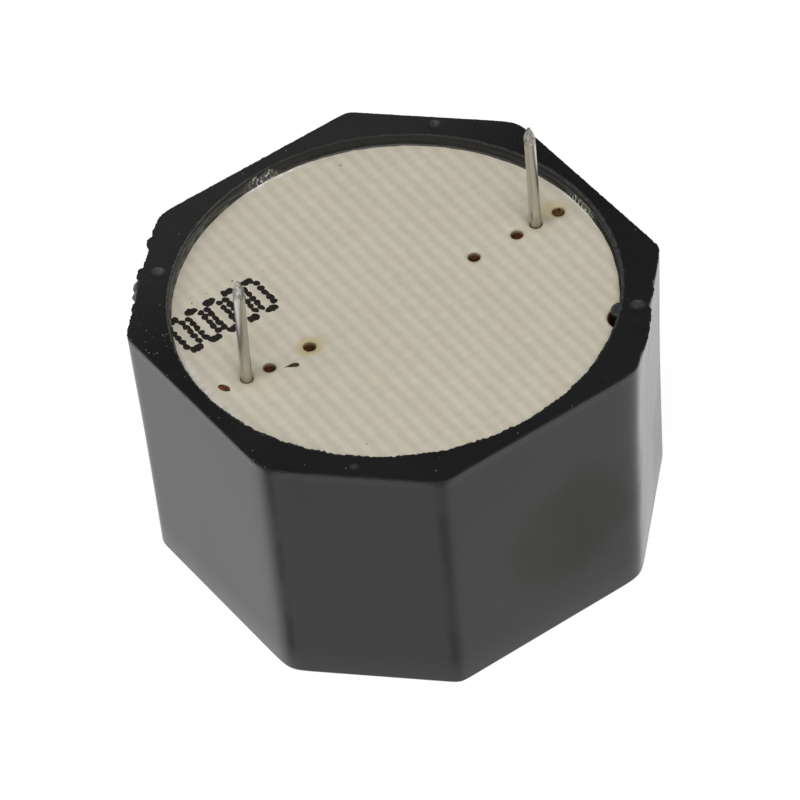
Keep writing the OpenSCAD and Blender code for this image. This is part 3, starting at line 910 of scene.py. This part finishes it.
def board_stains(x, y, depth, hole_gap):
    """Flux, scorch, soot and powder on the board, each a sum or maximum of falling-off humps."""
    flux, soot = (
        sum(s * hump(np.hypot(x - at[0], y - at[1]), ring, wide, power)
            for at, ring, wide, power, s in stains)
        for stains in (FLUX_STAINS, SOOT_STAINS)
    )
    scorch = np.exp(-np.clip(hole_gap, 0, 9) / BURN_REACH) * 0.28
    scorch = np.maximum(scorch, 0.6 * np.exp(-np.abs(depth[:, -1]) / BURN_REACH))
    soot = soot + 0.2 * hump(depth[:, 0], 0.0, 0.3)
    angle, pale = np.degrees(np.arctan2(y, x)), 0 * x
    for inset, wide, power, way, reach, strength in POWDER_STAINS:
        turn = (angle - way + 180) % 360 - 180
        spot = strength * hump(depth[:, 0], inset, wide, power) * hump(turn, 0, reach, 4)
        pale = np.maximum(pale, spot)
    return {"flux": flux, "scorch": scorch, "soot": soot, "pale": pale}


def board_surface(settings):
    """Square grid cut to the board's outline, the points at each cut moved square onto it.

    Top and bottom are joined by walls. The relief is cos(2 pi x / warp), cos(2 pi y / weft) and
    cos(pi x / warp) cos(pi y / weft), each times its share, added up.
    """
    step, warp, weft = settings.grid / MM, settings.warp / MM, settings.weft / MM
    count = int(math.ceil(BOARD_R / step)) + 1
    axis = np.arange(-count, count + 1) * step
    x, y = (a.ravel() for a in np.meshgrid(axis, axis, indexing="ij"))
    side = len(axis)
    shift_x, shift_y = turned(*PIN_SHIFT, -BOARD_TURN)
    pin_holes = ((shift_x - PITCH_HALF, shift_y), (shift_x + PITCH_HALF, shift_y))
    notch_r = BORE_R + NOTCH_OUT
    notch = (notch_r * math.cos(KEY_ANGLE), notch_r * math.sin(KEY_ANGLE))
    centres = np.array([(0.0, 0.0), *BOARD_HOLES, *pin_holes, notch])
    hole_radii = [settings.hole / MM] * len(BOARD_HOLES) + [settings.pin_hole / MM] * 2
    radii = np.array([BOARD_R, *hole_radii, settings.notch / MM])
    sign = np.array([1.0] + [-1.0] * (len(radii) - 1))

    def depths(px, py):
        """How far inside each edge of the board a point lies, and the way outwards from it."""
        dx, dy = px[:, None] - centres[:, 0], py[:, None] - centres[:, 1]
        away = np.hypot(dx, dy) + 1e-9
        return sign * (radii - away), sign * dx / away, sign * dy / away

    row, column = np.meshgrid(np.arange(side - 1), np.arange(side - 1), indexing="ij")
    low = (row * side + column).ravel()
    cells = np.stack([low, low + side, low + side + 1, low + 1], -1)
    inside = depths(x[cells].mean(1), y[cells].mean(1))[0].min(1) > 0
    used, cells = np.unique(cells[inside], return_inverse=True)
    cells = cells.reshape(-1, 4)
    x, y = x[used], y[used]
    edges = np.stack([cells, np.roll(cells, -1, 1)], -1).reshape(-1, 2)
    edge_names = edges.min(1) * len(x) + edges.max(1)
    names, counts = np.unique(edge_names, return_counts=True)
    open_edges = edges[np.isin(edge_names, names[counts == 1])]
    border = np.unique(open_edges)
    depth, way_x, way_y = depths(x[border], y[border])
    take = np.arange(len(border)), np.abs(depth).argmin(1)
    x[border] += depth[take] * way_x[take]
    y[border] += depth[take] * way_y[take]

    depth = depths(x, y)[0]
    rise = np.cos(TURN * x / warp) + CROSS_SHARE * np.cos(TURN * y / weft)
    rise += CHECK_SHARE * np.cos(math.pi * x / warp) * np.cos(math.pi * y / weft)
    hole_gap = depth[:, 1:-1].min(1)
    rise = settings.relief / MM * rise - LIP_DROP * (1 - soft_step(hole_gap, 0.0, LIP_WIDTH))

    total = len(x)
    place = turned(x, y)
    points = np.concatenate(
        [points_at(*place, z) for z in (BOARD_TOP + rise, BOARD_LOW, BOARD_TOP - 0.3)]
    )
    a, b = open_edges[:, 0], open_edges[:, 1]
    walls = np.stack([a, a + 2 * total, b + 2 * total, b], -1)
    lower_walls = np.stack([a + 2 * total, a + total, b + total, b + 2 * total], -1)
    faces = np.concatenate([cells, cells[:, ::-1] + total, walls, lower_walls])
    drilled = (hole_gap < 0.01) | (depth[:, -1] < 0.01)
    kept, faces = np.unique(faces, return_inverse=True)
    marks = {}
    for name, value in board_stains(x, y, depth, hole_gap).items():
        below = drilled if name == "scorch" else 0 * value
        marks[name] = np.clip(np.concatenate([value, below, below]), 0, 1)[kept]
    return points[kept], [faces.reshape(-1, 4)], marks


def sealant_surface():
    """Bead carried round the bore: its foot and its climb wander with the angle, up to the key."""
    angle = np.linspace(0, TURN, 900, endpoint=False)
    scraped, white, residue = (stretch(angle, k) for k in ("scraped", "white", "residue"))
    key_gap = 1 - 0.999 * stretch(angle, "key gap")
    foot = (0.035 + 0.006 * ripple(angle, 21, 10, 50, 30) + 0.04 * scraped) * key_gap
    climb = 0.1 + 0.012 * ripple(angle, 22, 6, 40, 30) + 0.46 * scraped + 0.5 * white
    climb = (climb + 0.3 * residue) * key_gap
    foot, climb = np.clip(foot, 0.004, 0.2), np.clip(climb, 0.004, 0.6)
    outer, inner = BORE_R - 0.004, BOARD_R + 0.004
    rows = []
    for t in np.linspace(0, 1, 11):
        sag = (1 - t) ** 3
        texture = 0.003 * ripple(angle, 30 + int(t * 10), 60, 400, 40) * math.sin(math.pi * t)
        texture = texture * key_gap
        inset = (foot + outer - BOARD_R) * sag + 0.014 * (1 - t)
        rows.append((outer - inset + texture, BOARD_TOP + 0.006 + climb * t**1.6 + texture))
    for radius, drop in ((outer, 0.25), (inner, 0.25), (inner, 0.05)):
        rows.append((radius + 0 * angle, BOARD_TOP - drop + 0 * angle))
    radius, z = np.array(rows).transpose(1, 0, 2)
    points = points_at(radius * np.cos(angle), radius * np.sin(angle), z)
    ones = np.ones((len(rows), 1))
    marks = {"chalk": 0.1 + 0.9 * scraped, "flakes": np.clip(white + 0.75 * residue, 0, 1)}
    marks = {name: (ones * value).ravel() for name, value in marks.items()}
    return points, [grid_faces(len(rows), len(angle), rows_closed=True)], marks


# The last of a pin's tip: how far below its top, and the share of the size left there
END_DROPS, END_SIZES = np.array((0.03, 0.015, 0.004, 0.0)), (1, 0.93, 0.75, 0.4)


def pin_surface(settings, axis, lean, facing):
    """Round wire whose tip is cut by four sloping planes.

    The section is the smaller of the circle and a shrinking rectangle.
    """
    shaft, root = settings.radius / MM, settings.root_radius / MM
    end, top = settings.tip_end / MM, PIN_TOP + settings.tip_rise / MM
    shoulder = top - settings.tip / MM
    z = np.concatenate(
        [
            np.linspace(PIN_FOOT + 0.03, BOARD_LOW, 4), np.linspace(BOARD_LOW, BOARD_TOP, 5)[1:],
            np.linspace(BOARD_TOP, shoulder, 14)[1:],
            np.linspace(shoulder, top - END_DROPS[0], 26)[1:], top - END_DROPS[1:],
        ]
    )
    around = np.linspace(0, TURN, 64, endpoint=False)
    circle = np.interp(z, [BOARD_LOW, BOARD_TOP], [root, shaft])[:, None]

    def cut(span):
        """Half width of the rectangle at each height, straight from the wire to the blunt end."""
        return shaft + (end - shaft) * np.clip((z - top) / span + 1, 0, 1)[:, None]

    turn = around - facing
    long_face = np.abs(np.cos(turn)) / cut(settings.tip / MM)
    short_face = np.abs(np.sin(turn)) / cut(settings.tip_side / MM)
    corner = 24.0
    size = (long_face**corner + short_face**corner + (1 / circle) ** corner) ** (-1 / corner)
    size = size * np.interp(z, top - END_DROPS, END_SIZES)[:, None]
    drift = np.clip((z - BOARD_TOP) / (top - BOARD_TOP), 0, 1)[:, None]
    x, y = (axis[k] + lean[k] * drift for k in (0, 1))
    points = points_at(x + size * np.cos(around), y + size * np.sin(around), z[:, None])
    ends = np.array([[*axis, z[0]], [*(axis + lean), z[-1]]])
    return np.concatenate([points, ends]), tube_faces(len(z), len(around))


def spots_surface(spots, height, seed, uneven=0.12, sides=14):
    """Low spots: rings of points r (1 + uneven waves), closed above by a raised middle and below.

    A spot is x, y, its two half widths, its turn, and how much its left end is drawn out.
    """
    draw = np.random.default_rng(seed)
    spots = np.asarray(spots, float)
    count = len(spots)
    around = np.linspace(0, TURN, sides, endpoint=False)
    phase = draw.uniform(0, TURN, (count, 1, 2))
    wave = 1 + uneven * 0.7 * np.sin(2 * around + phase[:, :, 0])
    wave += uneven * 0.6 * np.sin(3 * around + phase[:, :, 1])
    centre_x, centre_y, half_x, half_y, turn, drawn = (spots[:, k : k + 1] for k in range(6))
    x = half_x * np.cos(around) * wave
    y = half_y * np.sin(around) * wave * (1 + drawn * np.cos(around))
    x, y = x * np.cos(turn) - y * np.sin(turn), x * np.sin(turn) + y * np.cos(turn)

    def ring(reach_x, reach_y, z):
        """The points of every spot that lie at one height over the board."""
        place = turned(centre_x + reach_x, centre_y + reach_y)
        return np.stack(np.broadcast_arrays(*place, BOARD_TOP + z), -1)

    sunk = -0.006
    sections = ((1.0, sunk), (1.0, 0.45 * height), (0.82, 0.9 * height))
    rings = [ring(x * shrink, y * shrink, z) for shrink, z in sections]
    points = np.concatenate([*rings, ring(0.0, 0.0, sunk), ring(0.0, 0.0, height)], 1)
    first = (np.arange(count) * points.shape[1])[:, None, None]
    faces = [(part + first).reshape(-1, part.shape[1]) for part in tube_faces(3, sides)]
    return points.reshape(-1, 3), faces


# Dots of a printed zero: rows and columns, the steps between them, and the first dot's place
GLYPH_ROWS, GLYPH_COLUMNS, GLYPH_STEPS, GLYPH_START = 7, 5, (0.185, 0.385), (-9.93, 3.41)
# Stray ink dots (x, y, radius), the two parts of the chip and the slit (as spots_surface has them);
# the slit's dark brown is a drilled wall's colour and painted shade of the left hole's open half
STRAYS = np.array(
    (
        (-8.05, 6.2, 0.045), (-7.1, 6.32, 0.035), (-5.6, 6.25, 0.05), (-4.0, 5.9, 0.03),
        (-6.6, 9.0, 0.04),
    )
)
CHIPS = ((-6.56, -0.54, 0.38, 0.12, -0.3, 0.85), (-6.46, -0.6, 0.25, 0.115, -0.5, 0.2))
SLIT = (-10.02, 0.25, 0.37, 0.195, math.radians(-66), 0.1)


def zero_dots(settings):
    """Centres of the dots of a row of plain zeros, in the board's frame."""
    rows, columns = GLYPH_ROWS, GLYPH_COLUMNS
    sides = [(c, r) for c in (0, columns - 1) for r in range(1, rows - 1)]
    ends = [(c, r) for r in (0, rows - 1) for c in range(1, columns - 1)]
    glyph = np.array(sides + ends, float) * GLYPH_STEPS
    shift = np.arange(settings.digits)[:, None] * (settings.digit_pitch / MM, 0.0)
    return (glyph[None] + shift[:, None] + np.array(GLYPH_START)).reshape(-1, 2)


def plug_surface(x, y, low, drop):
    """Resin in a hole: rings whose top lies below the board, uneven by a few hundredths."""
    radius, unevenness = 0.305, 0.035
    around = np.linspace(0, TURN, 36, endpoint=False)
    share_out = np.linspace(1, 0.1, 10)[:, None]
    px = x + radius * share_out * np.cos(around)
    py = y + radius * share_out * np.sin(around)
    uneven = np.sin(px * 31) * np.cos(py * 27) + 0.8 * np.sin(px * 57 + 1) * np.cos(py * 63)
    top = BOARD_TOP - drop + unevenness * uneven * (share_out < 0.99)
    z = np.concatenate([np.full_like(px[:1], low), top])
    place = turned(np.concatenate([px[:1], px]), np.concatenate([py[:1], py]))
    ends = points_at(*turned(x, y), np.array((low, top[-1].mean())))
    return np.concatenate([points_at(*place, z), ends]), tube_faces(len(z), len(around))


# ---------- Operators ----------


class BUZZER_OT_effects(bpy.types.Operator):
    """Builds the node groups that the finishes share"""

    bl_idname = "buzzer.effects"
    bl_label = "Shared effects"

    def execute(self, context):
        make_shared_effects()
        return {"FINISHED"}


class BUZZER_OT_housing(bpy.types.Operator):
    """Builds the moulded shell with its torn rim, dimples and key rib"""

    bl_idname = "buzzer.housing"
    bl_label = "Housing"

    def execute(self, context):
        settings = context.scene.buzzer_housing
        plastic = plastic_finish(settings)
        points, faces, marks = shell_surface(settings)
        about = plastic, "housing_plastic", ("housing",)
        add_piece("housing_shell", points, faces, *about, marks=marks)
        points, faces = rib_surface()
        rib_torn = 0.25 * soft_step(points[:, 2], BOARD_TOP + 0.2, BOARD_TOP + 0.38)
        add_piece("key_rib", points, faces, *about, marks={"torn": rib_torn})
        return {"FINISHED"}


class BUZZER_OT_board(bpy.types.Operator):
    """Builds the woven board with its holes and notch, and the sealant round it"""

    bl_idname = "buzzer.board"
    bl_label = "Board and sealant"

    def execute(self, context):
        settings = context.scene.buzzer_board
        points, faces, marks = board_surface(settings)
        about = laminate_finish(settings), "board_composite", ("circuit_board",)
        add_piece("board_laminate", points, faces, *about, 40.0, marks)
        points, faces, marks = sealant_surface()
        resin = sealant_finish(settings)
        add_piece("sealant_bead", points, faces, resin, "sealant", ("board_sealant",), 50.0, marks)
        return {"FINISHED"}


class BUZZER_OT_pins(bpy.types.Operator):
    """Builds the two pins with their coined tips"""

    bl_idname = "buzzer.pins"
    bl_label = "Pins"

    def execute(self, context):
        settings = context.scene.buzzer_pins
        metal = wire_finish(settings)
        lean = ROW / math.hypot(*ROW) * settings.lean / MM
        for name, node, axis, way, facing in (
            ("pin_wire_positive", "pin_positive", PIN_PLUS, lean * 0.4, -130),
            ("pin_wire_negative", "pin_negative", PIN_MINUS, -lean * 1.6, -118),
        ):
            foot, turn = axis + PIN_SHIFT, math.radians(facing)
            points, faces = pin_surface(settings, foot, way - PIN_SHIFT, turn)
            add_piece(name, points, faces, metal, "tinned_wire", (node,), 24.0)
        return {"FINISHED"}


class BUZZER_OT_marks(bpy.types.Operator):
    """Prints the zeros in ink dots, and adds the dark chip and the resin in two holes; the left
    hole's dark slit is partly painted shade
    """

    bl_idname = "buzzer.marks"
    bl_label = "Marks on the board"

    def execute(self, context):
        settings = context.scene.buzzer_marks
        draw = np.random.default_rng(41)
        centres = zero_dots(settings)
        count = len(centres)
        size = settings.dot / MM * draw.uniform(0.93, 1.1, count)
        dots = np.column_stack(
            [
                centres + draw.normal(0, 0.012, (count, 2)), size,
                size * draw.uniform(1.12, 1.34, count), draw.uniform(-0.3, 0.3, count),
                draw.uniform(-0.2, 0.2, count),
            ]
        )
        strays = np.column_stack([STRAYS, STRAYS[:, 2] * 0.8, STRAYS[:, :2] * 0])
        ink = spot_finish("Printed ink", settings.ink, (0.022, 0.019, 0.015), 9000.0, 0.65)
        chip = spot_finish("Dark chip", settings.chip, (0.06, 0.042, 0.026), 9000.0, 0.65)
        tones = (0.13, 0.055, 0.018), (0.035, 0.014, 0.005)
        # Dark slit over the left hole: the brown of a drilled wall, and painted shade where the
        # hole's open half lies
        slit = spot_finish("Slit with painted shade", *tones, 5000.0, 0.6)
        brown = spot_finish("Brown resin", (0.15, 0.08, 0.028), (0.024, 0.01, 0.004), 5600.0, 0.5)
        for name, surface, finish in (
            ("board_digits", spots_surface(np.concatenate([dots, strays]), 0.012, 5), ink),
            ("board_chip", spots_surface(CHIPS, 0.012, 6, 0.06, 24), chip),
            ("hole_resin_left", spots_surface([SLIT], 0.006, 9, 0.05, 32), slit),
            ("hole_resin_right", plug_surface(*BOARD_HOLES[4], BOARD_TOP - 0.9, 0.1), brown),
        ):
            add_piece(name, *surface, finish)
        return {"FINISHED"}


# Finishes of the hidden parts: name, the nodes that have it, two tones, roughness, and, where they
# differ from inner_finish's, metal, fineness and drawn lines; a visible node without one is solder
INNER_FINISHES = (
    ("Moulded epoxy", ("transistor", "polarity_diode"), (0.018, 0.018, 0.019),
     (0.03, 0.03, 0.031), 0.6),
    ("Resistor ceramic", ("base_resistor", "feedback_resistor", "load_resistor"),
     (0.025, 0.025, 0.028), (0.5, 0.5, 0.48), 0.5),
    ("Rolled brass", ("diaphragm",), (0.66, 0.47, 0.19), (0.55, 0.37, 0.14), 0.32, 1.0,
     3000.0, True),
    ("Silvered ceramic", ("piezo_disc",), (0.68, 0.67, 0.64), (0.56, 0.55, 0.52), 0.45, 0.8,
     4000.0),
    ("White silicone", ("diaphragm_bead",), (0.74, 0.73, 0.69), (0.66, 0.65, 0.6), 0.5),
    ("Red insulation", ("drive_lead",), (0.36, 0.035, 0.025), (0.28, 0.03, 0.02), 0.45),
    ("Blue insulation", ("feedback_lead",), (0.05, 0.12, 0.32), (0.04, 0.09, 0.26), 0.45),
    ("Black insulation", ("ground_lead",), (0.024, 0.024, 0.025), (0.035, 0.035, 0.036), 0.45),
    ("Capacitor ceramic", ("supply_capacitor",), (0.4, 0.27, 0.15), (0.33, 0.22, 0.12), 0.5),
    ("Ferrite", ("choke_core",), (0.06, 0.055, 0.056), (0.04, 0.037, 0.038), 0.6),
    ("Enamelled copper", ("choke_winding",), (0.5, 0.17, 0.07), (0.4, 0.12, 0.05), 0.3, 1.0,
     7000.0, True),
)


class BUZZER_OT_inner_parts(bpy.types.Operator):
    """Gives each hidden part of the frame its own finish"""

    bl_idname = "buzzer.inner_parts"
    bl_label = "Finishes of the hidden parts"

    def execute(self, context):
        solder = inner_finish("Solder", (0.5, 0.5, 0.51), (0.4, 0.4, 0.41), 0.35, 1.0, 5000.0)
        finishes = {}
        for name, nodes, *values in INNER_FINISHES:
            finishes.update(dict.fromkeys(nodes, inner_finish(name, *values)))
        shown = (name for name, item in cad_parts.items() if not item.hide_render)
        bare = sorted(name for name in shown if name not in finishes)
        for name in [*finishes, *bare]:
            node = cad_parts[name]
            if not node.material_slots:
                node.data.materials.append(None)
            for slot in node.material_slots:
                slot.link = "OBJECT"
                slot.material = finishes.get(name, solder)
        return {"FINISHED"}


# Half the floor's width in metres, and the lights: place, width and share of the key light's power
FLOOR_REACH = 3.0
LIGHTS = (
    ("overhead light", (-0.12, -0.25, 0.55), 0.5, 1.0),
    ("side light", (-0.5, 0.1, 0.4), 0.35, 0.35),
)


class BUZZER_OT_stage(bpy.types.Operator):
    """Adds the pale floor, the soft lights, the surroundings and the camera"""

    bl_idname = "buzzer.stage"
    bl_label = "Stage"

    def execute(self, context):
        settings = context.scene.buzzer_stage
        scene = context.scene
        floor_mesh = bpy.data.meshes.new("floor")
        ways = (-1, -1), (1, -1), (1, 1), (-1, 1)
        corners = [(FLOOR_REACH * x, FLOOR_REACH * y, 0) for x, y in ways]
        floor_mesh.from_pydata(corners, [], [(0, 1, 2, 3)])
        floor = bpy.data.objects.new("floor", floor_mesh)
        scene.collection.objects.link(floor)
        pale, wiring, shader, _ = finish_of(
            "Pale floor", Roughness=0.8, Emission_Strength=settings.floor_light,
            Base_Color=(0.1, 0.1, 0.1), Emission_Color=(1.0, 1.0, 1.0),
        )
        clear = wiring.add("BsdfTransparent").outputs[0]
        below = wiring.add("NewGeometry").outputs["Backfacing"]
        both = wiring.add("MixShader", sockets={0: below, 1: shader.outputs[0], 2: clear})
        output = next(n for n in pale.node_tree.nodes if n.type == "OUTPUT_MATERIAL")
        wiring.feed(output.inputs["Surface"], both.outputs[0])
        floor_mesh.materials.append(pale)

        world = bpy.data.worlds.new("surround")
        world.use_nodes = True
        back = world.node_tree.nodes["Background"].inputs
        back["Color"].default_value = (1.0, 1.0, 1.0, 1.0)
        back["Strength"].default_value = settings.surround
        scene.world = world

        for name, place, size, power in LIGHTS:
            data = bpy.data.lights.new(name, "AREA")
            data.shape, data.size, data.energy = "SQUARE", size, power * settings.key_light
            lamp = bpy.data.objects.new(name, data)
            lamp.location = place
            lamp.rotation_euler = (-Vector(place)).to_track_quat("-Z", "Y").to_euler()
            scene.collection.objects.link(lamp)

        level, rise = settings.azimuth, settings.elevation
        flat = math.cos(rise)
        back_way = Vector((math.sin(level) * flat, -math.cos(level) * flat, math.sin(rise)))
        right = Vector((math.cos(level), math.sin(level), 0.0))
        up = back_way.cross(right)
        tilted = math.cos(settings.roll) * right + math.sin(settings.roll) * up
        upright = back_way.cross(tilted)
        camera = bpy.data.objects.new("camera", bpy.data.cameras.new("camera"))
        camera.data.lens = settings.lens
        camera.data.sensor_width = 36.0
        camera.data.clip_start, camera.data.clip_end = 0.01, 20.0
        spin = Matrix((tilted, upright, back_way)).transposed().to_4x4()
        stand = Vector(settings.aim) + back_way * settings.distance
        camera.matrix_world = Matrix.Translation(stand) @ spin
        scene.collection.objects.link(camera)
        scene.camera = camera
        scene.view_settings.view_transform = "Standard"
        return {"FINISHED"}


class BUZZER_PT_panel(bpy.types.Panel):
    """Lists the steps of the build in the order in which they run"""

    bl_idname = "BUZZER_PT_panel"
    bl_label = "Piezo buzzer"
    bl_space_type = "VIEW_3D"
    bl_region_type = "UI"
    bl_category = "Buzzer"

    def draw(self, context):
        for step in STEPS:
            self.layout.operator(step.bl_idname)
        for name in SETTINGS:
            group = getattr(context.scene, name)
            box = self.layout.box()
            for key in group.__annotations__:
                box.prop(group, key)


STEPS = (
    BUZZER_OT_effects, BUZZER_OT_housing, BUZZER_OT_board, BUZZER_OT_pins, BUZZER_OT_marks,
    BUZZER_OT_inner_parts, BUZZER_OT_stage,
)
SETTINGS = {
    "buzzer_housing": HousingSettings,
    "buzzer_board": BoardSettings,
    "buzzer_pins": PinSettings,
    "buzzer_marks": MarkSettings,
    "buzzer_stage": StageSettings,
}


def register():
    """Registers the settings, the steps and the panel."""
    for made in (*SETTINGS.values(), *STEPS, BUZZER_PT_panel):
        bpy.utils.register_class(made)
    for name, made in SETTINGS.items():
        setattr(bpy.types.Scene, name, PointerProperty(type=made))


def unregister():
    """Undoes register."""
    for name in SETTINGS:
        delattr(bpy.types.Scene, name)
    for made in reversed((*SETTINGS.values(), *STEPS, BUZZER_PT_panel)):
        bpy.utils.unregister_class(made)


def main():
    """Runs each step."""
    register()
    for step in STEPS:
        family, name = step.bl_idname.split(".")
        getattr(getattr(bpy.ops, family), name)()


if __name__ == "__main__":
    main()
